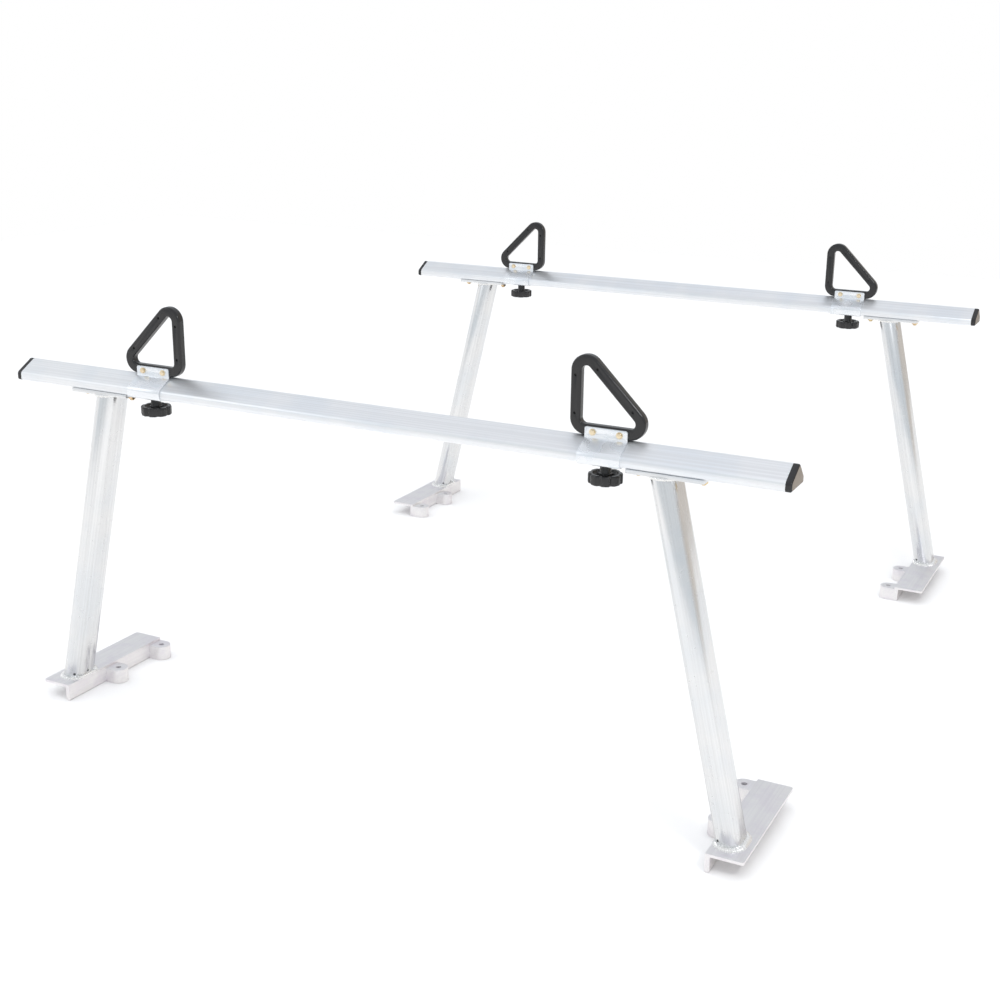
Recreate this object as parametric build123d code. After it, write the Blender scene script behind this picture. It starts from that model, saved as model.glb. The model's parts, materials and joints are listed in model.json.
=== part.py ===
from build123d import *
import os
from math import cos, radians, tan

# Ladder rack for an open truck bed: two aluminium portals, front and rear.
# Each portal is a wing-shaped crossbar on two raked legs with welded feet.
# Two loop-shaped load stops clamp round each crossbar with a hand knob.
# Frame: X along the crossbars, +Y from the front portal to the rear one, +Z up.
# Origin: middle of the rack, on the plane that the feet's flanges stand on.
# All sizes are in millimetres.

# Overall placing
portal_spacing = 1800.0     # front crossbar to rear crossbar
bar_length = 1766.0         # metal crossbar without its end caps
leg_rise = 720.0            # top of the foot's plate to the crossbar's underside
leg_lean = 13.3             # degrees that each leg leans in towards the top
leg_inset = 234.0           # bar's metal end to the leg's axis, at the underside

# Crossbar section, seen along the bar
bar_depth = 76.0
bar_peak = 44.0             # height of the crest before it is rounded
crest_y = 8.0
nose_height = 18.0
tail_height = 14.0
nose_radius = 5.0
brow_radius = 9.0
crest_radius = 8.0
tail_radius = 6.0
heel_radius = 5.0
bar_wall = 2.6
slot_lip = 3.5              # T-slot in the underside
slot_wall = 2.6
slot_headroom = 1.6         # space over a bolt head

# End caps
cap_rim = 12.0
cap_edge = 2.5
cap_plug = 25.0
plug_clearance = 0.3

# M10 hardware that runs in the slot
bolt_radius = 5.0
bolt_head_flats = 17.0
bolt_head_height = 6.4
bolt_clearance = 0.3
nut_flats = 15.0
nut_height = 8.0
nut_flange_radius = 10.5
nut_flange_height = 1.8
bolt_end = 4.0              # thread that shows past the nut
bolt_chamfer = 0.8
bolt_hole_clearance = 0.5   # radial, in the slot's mouth and the plates

# Leg tube, stadium section
leg_width = 50.8
leg_depth = 76.2
leg_wall = 3.2
weep_radius = 3.0
weep_height = 12.0
weep_slant = 1.4            # sideways run of the outer drains for each unit in X

# Plate between leg and crossbar
plate_length = 152.0
plate_width = 76.0
plate_thickness = 8.0
plate_shift = 11.0          # plate's middle, outwards from the leg's axis
plate_bolt_spacing = 126.0
plate_corner = 5.0

# Foot: an angle with two bolt bosses on its inner face
foot_margin = 4.1           # leg's wall to the foot's inner edge
foot_width = 76.0
foot_plate = 6.0
foot_height = 40.0
flange_thickness = 10.0
flange_round = 4.0
foot_heel = 68.0            # leg centre to the short end
foot_corner = 5.0
boss_radius = 22.0
boss_neck = 22.0            # flange face to the boss's axis
boss_hole_radius = 6.5
boss_near = 80.0            # leg centre to the first boss
boss_pitch = 160.0

# Weld beads
foot_bead = 9.0
foot_bead_height = 6.5
foot_bead_round = 5.0
top_bead = 6.0
top_bead_height = 5.0
top_bead_round = 3.5

# Load stop bracket, bent strip
stop_gap = 10.0             # bracket to the leg's plate
strap_width = 86.0
strap_thickness = 3.0
strap_clearance = 0.3
strap_tail = 24.0           # how far it runs back under the bar
strap_split = 13.0          # height that parts the underside from the slope
tab_y = -5.0
tab_height = 19.0           # top of the tab above the crest
tab_corner = 4.0
bend_radius = 3.0

# Load stop loop, a rounded right triangle
loop_size = 152.0
loop_thickness = 19.0
loop_bar = 21.0
loop_corner = 31.0
loop_edge = 4.5
loop_gap = 1.0              # between the loop and the crest
pit_radius = 2.6
pit_depth = 4.0
pit_points = (0.1, 0.9)     # where the pits sit along a side

# M6 screws that hold the loop
screw_radius = 3.0
screw_clearance = 0.2       # radial
screw_spacing = 54.0
screw_height = 9.5          # axis above the crest
screw_flats = 10.0
screw_head = 4.0
screw_chamfer = 0.6
screw_flange_radius = 6.5
screw_flange = 1.2
screw_end = 2.0
screw_nut_height = 5.0

# Hand knob and its washer
washer_radius = 12.0
washer_thickness = 2.0
knob_radius = 33.0
knob_height = 20.0
knob_round = 3.0
hub_radius = 11.0
hub_height = 18.5
hub_round = 1.0
knob_lobes = 8
notch_radius = 7.0
notch_offset = 3.5
knob_dish_outer = 24.0
knob_dish_inner = 13.0
knob_dish_depth = 6.0
knob_fit = 0.08             # radial running clearance on the bolt
stud_length = 24.0          # bolt below the washer
stud_room = 6.0             # bore left past the end of the bolt

# Sizes that follow from the ones above
underside = foot_height + leg_rise
leg_top_x = bar_length / 2 - leg_inset
leg_footprint = leg_width / cos(radians(leg_lean))
bolt_hole_radius = bolt_radius + bolt_hole_clearance
slot_width = bolt_head_flats + 2 * bolt_clearance
slot_height = bolt_head_height + slot_headroom
plate_x = leg_top_x + plate_shift
foot_inner_x = leg_top_x + leg_rise * tan(radians(leg_lean)) - leg_footprint / 2 - foot_margin
foot_toe = boss_near + boss_pitch + boss_radius
stop_x = plate_x - plate_length / 2 - strap_width / 2 - stop_gap
strap_under = strap_clearance + strap_thickness
screw_hole_radius = screw_radius + screw_clearance
MIRROR_X = Plane.YZ
MIRROR_Y = Plane.XZ


def block(low, high):
    """A box from its lowest and highest corners."""
    size = [b - a for a, b in zip(low, high)]
    return Pos(*low) * Box(*size, align=(Align.MIN, Align.MIN, Align.MIN))


def flat(low, high):
    """A rectangle in the bar's section from two corners."""
    middle = [(a + b) / 2 for a, b in zip(low, high)]
    return Pos(*middle) * Rectangle(high[0] - low[0], high[1] - low[1])


def hexagon(flats, height):
    """A hexagonal prism that stands on z = 0 with flats facing +Y and -Y."""
    return extrude(RegularPolygon(flats / 2, 6, major_radius=False), height)


def bar_outline():
    """Outer outline of the crossbar in (Y, Z), its underside on zero."""
    half = bar_depth / 2
    corners = [
        ((-half, 0), nose_radius),
        ((-half, nose_height), brow_radius),
        ((crest_y, bar_peak), crest_radius),
        ((half, tail_height), tail_radius),
        ((half, 0), heel_radius),
    ]
    points = [point for point, _ in corners]
    radii = [radius for _, radius in corners]
    return make_face(FilletPolyline(*points, radius=radii, close=True))


def slot_channel(clearance):
    """Outside of the channel that forms the T-slot, in (Y, Z)."""
    half = slot_width / 2 + slot_wall + clearance
    return flat((-half, 0), (half, slot_lip + slot_height + slot_wall + clearance))


bar_face = bar_outline()
crest = bar_face.bounding_box().max.Y
bar_hollow = offset(bar_face, -bar_wall) - slot_channel(0)


def crossbar():
    throat = flat((-bolt_hole_radius, -1), (bolt_hole_radius, slot_lip + 1))
    pocket = flat((-slot_width / 2, slot_lip), (slot_width / 2, slot_lip + slot_height))
    section = bar_face - bar_hollow - throat - pocket
    bar = extrude(Plane.YZ * section, bar_length / 2, both=True)
    return Pos(0, 0, underside) * bar


def end_cap():
    """Cap for the +X end of a crossbar."""
    end = bar_length / 2
    rim = extrude(Plane.YZ.offset(end) * bar_face, cap_rim)
    outer_edges = rim.faces().sort_by(Axis.X)[-1].edges()
    rim = chamfer(outer_edges, cap_edge)
    plug_face = offset(bar_face, -bar_wall - plug_clearance) - slot_channel(plug_clearance)
    plug = extrude(Plane.YZ.offset(end) * plug_face, -cap_plug)
    return Pos(0, 0, underside) * (rim + plug)


def leg_axis(height):
    """X of the leg's axis at a height above the ground plane."""
    return leg_top_x + (underside - height) * tan(radians(leg_lean))


def leg_solid(inset):
    """Raked stadium bar between the foot and the top plate."""
    low = foot_height
    high = underside - plate_thickness
    middle = (low + high) / 2
    upwards = (leg_axis(high) - leg_axis(low), 0, high - low)
    across = Plane((leg_axis(middle), 0, middle), x_dir=(0, 1, 0), z_dir=upwards)
    section = SlotOverall(leg_depth - 2 * inset, leg_width - 2 * inset)
    bar = extrude(across * section, (high - low) / 2 + leg_width, both=True)
    reach = leg_axis(low) + leg_width
    return bar & block((0, -leg_depth, low), (reach, leg_depth, high))


def weep_drill(angle_y, angle_x):
    """Drill for one drain hole, through the inner wall of the leg."""
    start = (leg_axis(foot_height + weep_height), angle_y, foot_height + weep_height)
    plane = Plane(origin=start, z_dir=(-1, angle_x, 0))
    return extrude(plane * Circle(weep_radius), leg_width)


def leg_tube():
    tube = leg_solid(0) - leg_solid(leg_wall)
    bend_y = (leg_depth - leg_width) / 2
    for y, slant in ((0, 0), (-bend_y, -weep_slant), (bend_y, weep_slant)):
        tube -= weep_drill(y, slant)
    return tube


def bead(height, spread, tall, roundness, x):
    """Bead that lies round the leg on the plane z = height."""
    ring = SlotOverall(leg_depth + 2 * spread, leg_footprint + 2 * spread)
    pad = extrude(Pos(x, 0, height) * Rot(0, 0, 90) * ring, tall)
    far_face = pad.faces().sort_by(Axis.Z)[-1 if tall > 0 else 0]
    pad = fillet(far_face.edges(), roundness)
    return pad - leg_solid(0)


def leg_welds():
    low = foot_height
    high = underside - plate_thickness
    foot_ring = bead(low, foot_bead, foot_bead_height, foot_bead_round, leg_axis(low))
    outer_x = foot_inner_x + foot_width
    foot_ring &= block((foot_inner_x, -leg_depth, low), (outer_x, leg_depth, high))
    top_ring = bead(high, top_bead, -top_bead_height, top_bead_round, leg_axis(high))
    return [foot_ring, top_ring]


def plate_bolt_xs():
    return [plate_x - plate_bolt_spacing / 2, plate_x + plate_bolt_spacing / 2]


def top_plate():
    half = plate_width / 2
    low = (plate_x - plate_length / 2, -half, underside - plate_thickness)
    high = (plate_x + plate_length / 2, half, underside)
    plate = block(low, high)
    plate = fillet(plate.edges().filter_by(Axis.Z), plate_corner)
    for x in plate_bolt_xs():
        plate -= Pos(x, 0, low[2]) * Cylinder(bolt_hole_radius, 4 * plate_thickness)
    return plate


def slot_bolt(length):
    """Hex bolt, head in the slot and shank down, length below the underside."""
    head = Pos(0, 0, slot_lip) * hexagon(bolt_head_flats, bolt_head_height)
    shank = Pos(0, 0, -length) * extrude(Circle(bolt_radius), length + slot_lip)
    shank = chamfer(shank.faces().sort_by(Axis.Z)[0].edges(), bolt_chamfer)
    return head + shank


def slot_bolts():
    length = plate_thickness + nut_height + bolt_end
    return [Pos(x, 0, underside) * slot_bolt(length) for x in plate_bolt_xs()]


def flange_nuts():
    flange = extrude(Circle(nut_flange_radius), nut_flange_height)
    flange = Pos(0, 0, nut_height - nut_flange_height) * flange
    nut = hexagon(nut_flats, nut_height) + flange
    nut -= extrude(Circle(bolt_radius), nut_height)
    seat = underside - plate_thickness - nut_height
    return [Pos(x, 0, seat) * nut for x in plate_bolt_xs()]


def foot():
    """Foot for a right-hand leg whose long end points to +Y."""
    outer_x = foot_inner_x + foot_width
    plate_low = foot_height - foot_plate
    plate = block((foot_inner_x, -foot_heel, plate_low), (outer_x, foot_toe, foot_height))
    outer_corners = plate.edges().filter_by(Axis.Z).sort_by(Axis.X)[-2:]
    plate = fillet(outer_corners, foot_corner)
    flange = block(
        (foot_inner_x, -foot_heel, 0),
        (foot_inner_x + flange_thickness, foot_toe, foot_height),
    )
    lower_edges = flange.edges().filter_by(Axis.Y).sort_by(Axis.Z)[:2]
    flange = fillet(lower_edges, flange_round)
    body = plate + flange
    axis_x = foot_inner_x - boss_neck
    holes = []
    for y in (boss_near, boss_near + boss_pitch):
        neck = block(
            (axis_x, y - boss_radius, 0),
            (foot_inner_x + flange_thickness / 2, y + boss_radius, plate_low),
        )
        nose = Pos(axis_x, y, 0) * extrude(Circle(boss_radius), plate_low)
        body += neck + nose
        hole = extrude(Circle(boss_hole_radius), plate_low)
        holes.append(Pos(axis_x, y, 0) * hole)
    for hole in holes:
        body -= hole
    return body


def strap():
    """Bracket of a load stop, centred on x = 0."""
    gap = offset(bar_face, strap_clearance)
    skin = offset(bar_face, strap_clearance + strap_thickness)
    reach = bar_depth
    below = flat((-reach, -reach), (strap_tail, strap_split))
    above = flat((-reach, strap_split), (tab_y + strap_thickness, reach))
    band = (skin - gap) & (below + above)
    top = crest + tab_height
    tab = flat((tab_y, nose_height), (tab_y + strap_thickness, top)) - gap
    section = band + tab
    inner_bend = section.vertices().sort_by_distance((tab_y, crest + strap_thickness))
    inner_bend = [v for v in inner_bend if abs(v.X - tab_y) < 0.01][0]
    section = fillet(inner_bend, bend_radius)
    body = extrude(Plane.YZ * section, strap_width / 2, both=True)
    tab_edges = body.edges().filter_by(Axis.Y).sort_by(Axis.Z)[-2:]
    body = fillet(tab_edges, tab_corner)
    body -= extrude(Circle(bolt_hole_radius), 2 * slot_lip, both=True)
    return Pos(0, 0, underside) * (body - screw_holes())


def screw_spots():
    """Centres of the two loop screws, on the tab's front face."""
    z = crest + screw_height
    return [(-screw_spacing / 2, tab_y, z), (screw_spacing / 2, tab_y, z)]


def screw_holes():
    drill = Rot(90, 0, 0) * Cylinder(screw_hole_radius, 4 * loop_thickness)
    return Part() + [Pos(*spot) * drill for spot in screw_spots()]


def loop_face(radius):
    """Right triangle round three corner circles of the given radius."""
    reach = loop_size / 2 - loop_corner
    low = loop_corner
    high = loop_size - loop_corner
    core = make_face(Polyline((-reach, low), (reach, low), (-reach, high), close=True))
    return offset(core, radius)


def loop_pits():
    """Centres of the small pits in the loop's front face, in (X, Z)."""
    reach = loop_size / 2 - loop_corner
    low = loop_corner
    high = loop_size - loop_corner
    middle = loop_corner - loop_bar / 2
    diagonal = middle * cos(radians(45))
    pits = []
    for share in pit_points:
        pits.append((-reach - middle, low + share * (high - low)))
        x = -reach + share * 2 * reach
        pits.append((x + diagonal, high - share * (high - low) + diagonal))
    return pits


def loop():
    """Loop of a right-hand stop: upright side inwards, centred on x = 0."""
    front = tab_y + strap_thickness
    level = crest + loop_gap
    upright = Plane(origin=(0, front, level), x_dir=(1, 0, 0), z_dir=(0, -1, 0))
    ring = loop_face(loop_corner) - loop_face(loop_corner - loop_bar)
    body = extrude(upright * ring, -loop_thickness)
    body = fillet(body.faces().filter_by(Axis.Y).edges(), loop_edge)
    for x, z in loop_pits():
        body -= extrude(upright * Pos(x, z) * Circle(pit_radius), -pit_depth)
    return Pos(0, 0, underside) * (body - screw_holes())


def screw():
    """Flanged hex screw, head to -Y, its seat on y = 0."""
    length = strap_thickness + loop_thickness + screw_nut_height + screw_end
    flange = extrude(Circle(screw_flange_radius), screw_flange)
    head = extrude(RegularPolygon(screw_flats / 2, 6, major_radius=False), screw_head)
    head = chamfer(head.faces().sort_by(Axis.Z)[-1].edges(), screw_chamfer)
    shank = Pos(0, 0, -length) * extrude(Circle(screw_radius), length)
    return Rot(90, 0, 0) * (flange + head + shank)


def loop_screws():
    spots = screw_spots()
    return [Pos(0, 0, underside) * Pos(*spot) * screw() for spot in spots]


def screw_nuts():
    nut = hexagon(screw_flats, screw_nut_height)
    nut -= extrude(Circle(screw_radius), screw_nut_height)
    nut = Rot(-90, 0, 0) * nut
    seat = tab_y + strap_thickness + loop_thickness
    return [Pos(x, seat, underside + z) * nut for x, _, z in screw_spots()]


def stop_bolt():
    length = strap_under + washer_thickness + stud_length
    return Pos(0, 0, underside) * slot_bolt(length)


def stop_washer():
    ring = Circle(washer_radius) - Circle(bolt_radius + bolt_clearance)
    seat = underside - strap_under - washer_thickness
    return Pos(0, 0, seat) * extrude(ring, washer_thickness)


def knob():
    """Lobed hand knob, its hub's top on z = 0 before it is placed."""
    base = -hub_height - knob_height
    disc = Pos(0, 0, base) * extrude(Circle(knob_radius), knob_height)
    disc = fillet(disc.edges(), knob_round)
    dish = Circle(knob_dish_outer) - Circle(knob_dish_inner)
    disc -= Pos(0, 0, -hub_height - knob_dish_depth) * extrude(dish, knob_dish_depth + 1)
    cutter = Pos(knob_radius + notch_offset, 0, 0) * Circle(notch_radius)
    notches = Sketch() + [Rot(0, 0, 360 / knob_lobes * n) * cutter for n in range(knob_lobes)]
    disc -= Pos(0, 0, base) * extrude(notches, knob_height)
    hub = extrude(Circle(hub_radius), hub_height + knob_dish_depth)
    hub = Pos(0, 0, -hub_height - knob_dish_depth) * hub
    hub = fillet(hub.faces().sort_by(Axis.Z)[-1].edges(), hub_round)
    depth = stud_length + stud_room
    bore = Pos(0, 0, -depth) * extrude(Circle(bolt_radius + knob_fit), depth + 1)
    body = disc + hub - bore
    return Pos(0, 0, underside - strap_under - washer_thickness) * body


def placed(pieces, x_sign, y_sign, y):
    """Mirror right-hand front pieces to a corner and move them to a portal."""
    result = []
    for piece in pieces:
        if x_sign < 0:
            piece = mirror(piece, about=MIRROR_X)
        if y_sign < 0:
            piece = mirror(piece, about=MIRROR_Y)
        result.append(Pos(0, y, 0) * piece)
    return result


def save(node, pieces):
    solids = [solid for piece in pieces for solid in piece.solids()]
    shape = solids[0] if len(solids) == 1 else Compound(children=solids)
    export_step(shape, f"parts/{node}.step")


def main():
    os.makedirs("parts", exist_ok=True)
    leg_pieces = {
        "leg_tube": [leg_tube()],
        "top_plate": [top_plate()],
        "foot": [foot()],
        "leg_welds": leg_welds(),
        "slot_bolts": slot_bolts(),
        "flange_nuts": flange_nuts(),
    }
    stop_pieces = {
        "stop_bracket": [strap()],
        "stop_loop": [loop()],
        "loop_screws": loop_screws(),
        "loop_nuts": screw_nuts(),
        "stop_bolt": [stop_bolt()],
        "stop_washer": [stop_washer()],
        "stop_knob": [knob()],
    }
    shift = Pos(stop_x, 0, 0)
    stop_pieces = {name: [shift * p for p in pieces] for name, pieces in stop_pieces.items()}
    bar = crossbar()
    cap = end_cap()
    for portal, y_sign in (("front", 1), ("rear", -1)):
        y = -y_sign * portal_spacing / 2
        save(f"{portal}_crossbar", placed([bar], 1, 1, y))
        for side, x_sign in (("left", -1), ("right", 1)):
            corner = f"{portal}_{side}"
            save(f"{corner}_end_cap", placed([cap], x_sign, 1, y))
            for name, pieces in leg_pieces.items():
                save(f"{corner}_{name}", placed(pieces, x_sign, y_sign, y))
            for name, pieces in stop_pieces.items():
                save(f"{corner}_{name}", placed(pieces, x_sign, 1, y))


main()
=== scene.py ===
import json
from math import atan2, cos, pi, radians, sin, sqrt, tan, tau

import bmesh
import bpy
from mathutils import Matrix, Vector

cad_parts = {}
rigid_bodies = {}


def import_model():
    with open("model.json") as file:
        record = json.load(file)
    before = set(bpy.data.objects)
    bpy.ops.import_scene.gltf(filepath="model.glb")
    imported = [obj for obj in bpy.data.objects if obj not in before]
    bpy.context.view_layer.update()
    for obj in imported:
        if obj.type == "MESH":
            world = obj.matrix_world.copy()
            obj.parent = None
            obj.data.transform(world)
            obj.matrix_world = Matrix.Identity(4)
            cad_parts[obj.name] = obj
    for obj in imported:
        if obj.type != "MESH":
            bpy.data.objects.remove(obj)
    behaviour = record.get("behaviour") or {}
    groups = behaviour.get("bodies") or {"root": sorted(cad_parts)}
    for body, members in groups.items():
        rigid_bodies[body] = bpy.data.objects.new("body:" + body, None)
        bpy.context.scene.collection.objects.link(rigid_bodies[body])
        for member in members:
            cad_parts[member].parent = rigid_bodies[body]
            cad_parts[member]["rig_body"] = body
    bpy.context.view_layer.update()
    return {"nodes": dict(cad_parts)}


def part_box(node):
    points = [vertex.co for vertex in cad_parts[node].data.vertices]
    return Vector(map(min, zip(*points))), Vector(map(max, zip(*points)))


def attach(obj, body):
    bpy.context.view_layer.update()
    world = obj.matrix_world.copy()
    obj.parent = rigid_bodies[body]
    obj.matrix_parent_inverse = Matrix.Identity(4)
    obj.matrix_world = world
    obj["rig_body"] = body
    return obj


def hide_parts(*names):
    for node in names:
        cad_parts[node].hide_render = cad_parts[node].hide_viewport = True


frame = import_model()

bl_info = {
    "name": "Ladder rack",
    "version": (1, 0, 0),
    "blender": (4, 5, 0),
    "location": "View3D > Sidebar > Rack",
    "description": "Finishes and small parts of a two-portal ladder rack",
    "category": "Object",
}

PORTALS = ("front", "rear")
SIDES = ("left", "right")
CORNERS = tuple(f"{portal}_{side}" for portal in PORTALS for side in SIDES)
MERGE = 1e-6            # corners closer than this are one corner
FLAT_ANGLE = radians(0.1)
SHARP_ANGLE = radians(32)
END_FACING = 0.95       # a normal this far along X belongs to a cap's end face
FLOOR_SIZE = 14         # metres
FLOOR_GAP = 0.0005
BEAD_ROOT = 0.002       # how far a weld bead reaches into the tube's wall
BEAD_SINK = 0.3         # share of its height that a bead sinks into a plate

# Weld beads: how far they spread from the leg, and how tall they stand
FOOT_BEAD = (0.0088, 0.0063)
TOP_BEAD = (0.0058, 0.0048)
BEAD_EDGE = 0.0003      # bead kept back from the foot's inner edge
FOOT_WIDTH = 0.076      # the foot's plate, without its bosses

# M10 bolts in the slot and M6 screws in the loops
BOLT_RADIUS = 0.005
BOLT_FLATS = 0.017
BOLT_HEAD = 0.0064
BOLT_CROWN = 0.0008
SCREW_RADIUS = 0.003
SCREW_FLATS = 0.010
SCREW_HEAD = 0.004
SCREW_CROWN = 0.0006
SCREW_TIP = 0.0005
SCREW_FLANGE = 0.0012
SCREW_FLANGE_TIP = 0.0004
THREAD_START = 0.7      # pitches from a bolt's tip to its thread

# Soft lights: place, size and power
KEY_LIGHT = ((-3.2, -3.0, 2.6), (2.4, 2.4), 10)
EDGE_LIGHT = ((2.4, -2.2, 2.8), (0.55, 0.55), 18)
LIGHT_AIM = (0, 0, 0.4)
SUN_SPREAD = radians(75)
SUN_TURN = (radians(7), radians(-3), 0)
SENSOR_WIDTH = 36       # millimetres


# Values that a user would change


class RackSizes(bpy.types.PropertyGroup):
    """Sizes of the small shapes that the frame leaves plain."""

    metal_edge: bpy.props.FloatProperty(
        name="Metal edge",
        description="Width of the broken edge on cut and sawn metal",
        default=0.0007,
        unit="LENGTH",
        precision=5,
    )
    sheet_edge: bpy.props.FloatProperty(
        name="Sheet edge",
        description="Width of the deburred edge on the bent brackets",
        default=0.0005,
        unit="LENGTH",
        precision=5,
    )
    moulded_edge: bpy.props.FloatProperty(
        name="Moulded edge",
        description="Width of the rounded edge on plastic parts",
        default=0.0011,
        unit="LENGTH",
        precision=5,
    )
    leg_width: bpy.props.FloatProperty(
        name="Leg width",
        description="Narrow width of the leg tube",
        default=0.0508,
        unit="LENGTH",
        precision=4,
    )
    leg_depth: bpy.props.FloatProperty(
        name="Leg depth",
        description="Wide width of the leg tube",
        default=0.0762,
        unit="LENGTH",
        precision=4,
    )
    leg_lean: bpy.props.FloatProperty(
        name="Leg lean",
        description="Angle that each leg leans in towards the top",
        default=radians(13.3),
        subtype="ANGLE",
    )
    ripple_pitch: bpy.props.FloatProperty(
        name="Weld ripple",
        description="Distance from one ripple of a weld to the next",
        default=0.0036,
        unit="LENGTH",
        precision=4,
    )
    bolt_pitch: bpy.props.FloatProperty(
        name="Bolt thread",
        description="Pitch of the thread on the slot bolts",
        default=0.0015,
        unit="LENGTH",
        precision=4,
    )
    screw_pitch: bpy.props.FloatProperty(
        name="Screw thread",
        description="Pitch of the thread on the loop screws",
        default=0.001,
        unit="LENGTH",
        precision=4,
    )


class RackFinishes(bpy.types.PropertyGroup):
    """Colours of the finishes."""

    bar_metal: bpy.props.FloatVectorProperty(
        name="Crossbar metal",
        description="Drawn aluminium of the crossbars",
        subtype="COLOR",
        size=3,
        default=(0.91, 0.925, 0.945),
    )
    # Painted shade: the legs' metal is darker than the crossbars' to stand for the shaded floor
    # near the rack that the legs mirror. The top plates and leg edges share this darker colour.
    leg_metal_with_painted_shade: bpy.props.FloatVectorProperty(
        name="Leg metal",
        description="Mill aluminium of the legs and plates",
        subtype="COLOR",
        size=3,
        default=(0.83, 0.84, 0.85),
    )
    foot_metal: bpy.props.FloatVectorProperty(
        name="Foot metal",
        description="Cast aluminium of the feet",
        subtype="COLOR",
        size=3,
        default=(0.90, 0.89, 0.895),
    )
    weld_metal: bpy.props.FloatVectorProperty(
        name="Weld metal",
        description="Bright metal of the weld beads",
        subtype="COLOR",
        size=3,
        default=(0.9, 0.9, 0.89),
    )
    bright_zinc: bpy.props.FloatVectorProperty(
        name="Bright zinc",
        description="Plating of the stop brackets",
        subtype="COLOR",
        size=3,
        default=(0.88, 0.905, 0.935),
    )
    yellow_zinc: bpy.props.FloatVectorProperty(
        name="Yellow zinc",
        description="Plating of the bolts, nuts and screws",
        subtype="COLOR",
        size=3,
        default=(0.74, 0.58, 0.33),
    )
    screw_zinc: bpy.props.FloatVectorProperty(
        name="Screw zinc",
        description="Paler plating of the screws that hold the loops",
        subtype="COLOR",
        size=3,
        default=(0.84, 0.72, 0.52),
    )
    black_plastic: bpy.props.FloatVectorProperty(
        name="Black plastic",
        description="Moulding of the loops, knobs and cap rims",
        subtype="COLOR",
        size=3,
        default=(0.016, 0.016, 0.017),
    )
    cap_face: bpy.props.FloatVectorProperty(
        name="Cap face",
        description="Faded end face of the crossbar caps",
        subtype="COLOR",
        size=3,
        default=(0.25, 0.21, 0.17),
    )


class RackStage(bpy.types.PropertyGroup):
    """Camera, floor and light."""

    camera_place: bpy.props.FloatVectorProperty(
        name="Camera place",
        description="Where the camera stands",
        subtype="TRANSLATION",
        size=3,
        default=(1.5285, -3.3056, 1.4977),
    )
    camera_turn: bpy.props.FloatProperty(
        name="Camera turn",
        description="Angle of the view to the left of +Y",
        subtype="ANGLE",
        default=radians(26.84),
    )
    camera_dip: bpy.props.FloatProperty(
        name="Camera dip",
        description="Angle of the view below the horizon",
        subtype="ANGLE",
        default=radians(17.48),
    )
    camera_roll: bpy.props.FloatProperty(
        name="Camera roll",
        description="Turn of the camera round its own view",
        subtype="ANGLE",
        default=radians(0.68),
    )
    camera_lens: bpy.props.FloatProperty(
        name="Lens",
        description="Focal length on a 36 mm sensor",
        subtype="DISTANCE_CAMERA",
        default=52.26,
    )
    floor_colour: bpy.props.FloatVectorProperty(
        name="Floor",
        description="Pale floor that the rack stands on",
        subtype="COLOR",
        size=3,
        default=(0.94, 0.94, 0.94),
    )
    soft_light: bpy.props.FloatProperty(
        name="Soft light",
        description="Strength of the wide sun over the floor",
        default=1.35,
        min=0,
    )
    sky_colour: bpy.props.FloatVectorProperty(
        name="Surroundings",
        description="Light from all round",
        subtype="COLOR",
        size=3,
        default=(1.0, 1.0, 1.0),
    )


# Selecting and shaping


def only(piece):
    """Make one object the whole selection."""
    bpy.ops.object.select_all(action="DESELECT")
    piece.select_set(True)
    bpy.context.view_layer.objects.active = piece


def edit_all(piece):
    """Open a piece's mesh with all of it selected."""
    only(piece)
    bpy.ops.object.mode_set(mode="EDIT")
    bpy.ops.mesh.select_all(action="SELECT")


def close_edit():
    bpy.ops.object.mode_set(mode="OBJECT")


def break_edges(piece, width, segments, material=-1):
    """Round the sharp edges, and give the new faces a material of their own."""
    only(piece)
    modifier = piece.modifiers.new("edges", "BEVEL")
    modifier.width = width
    modifier.segments = segments
    modifier.limit_method = "ANGLE"
    modifier.angle_limit = SHARP_ANGLE
    modifier.use_clamp_overlap = True
    modifier.miter_outer = "MITER_ARC"
    modifier.material = material
    bpy.ops.object.modifier_apply(modifier=modifier.name)


def smooth(piece):
    only(piece)
    bpy.ops.object.shade_smooth_by_angle(angle=SHARP_ANGLE)


def place_in_mesh(piece):
    """Leave the object at the origin, with its place in its mesh."""
    only(piece)
    bpy.ops.object.transform_apply(location=True, rotation=True, scale=True)


def joined(pieces, name):
    """Several objects as one piece."""
    bpy.ops.object.select_all(action="DESELECT")
    for piece in pieces:
        piece.select_set(True)
    bpy.context.view_layer.objects.active = pieces[0]
    if len(pieces) > 1:
        bpy.ops.object.join()
    whole = bpy.context.view_layer.objects.active
    whole.name = name
    return whole


def copied(piece, matrix):
    """A copy with a mesh of its own, put in place by a matrix."""
    only(piece)
    bpy.ops.object.duplicate()
    twin = bpy.context.view_layer.objects.active
    twin.data.transform(matrix)
    if matrix.determinant() < 0:
        edit_all(twin)
        bpy.ops.mesh.normals_make_consistent(inside=False)
        close_edit()
    return twin


def dress(piece, materials):
    piece.data.materials.clear()
    for material in materials:
        piece.data.materials.append(material)


def stand_for(piece, node):
    """Put a finished piece in the place of a CAD node."""
    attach(piece, frame["nodes"][node]["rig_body"])
    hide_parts(node)


def merged_copy(node, name):
    """A new object with a merged copy of a CAD node's mesh."""
    piece = bpy.data.objects.new(name, frame["nodes"][node].data.copy())
    bpy.context.scene.collection.objects.link(piece)
    only(piece)
    bpy.ops.mesh.customdata_custom_splitnormals_clear()
    edit_all(piece)
    bpy.ops.mesh.remove_doubles(threshold=MERGE)
    bpy.ops.mesh.dissolve_limited(angle_limit=FLAT_ANGLE)
    close_edit()
    for face in piece.data.polygons:
        face.material_index = 0
    return piece


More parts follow.
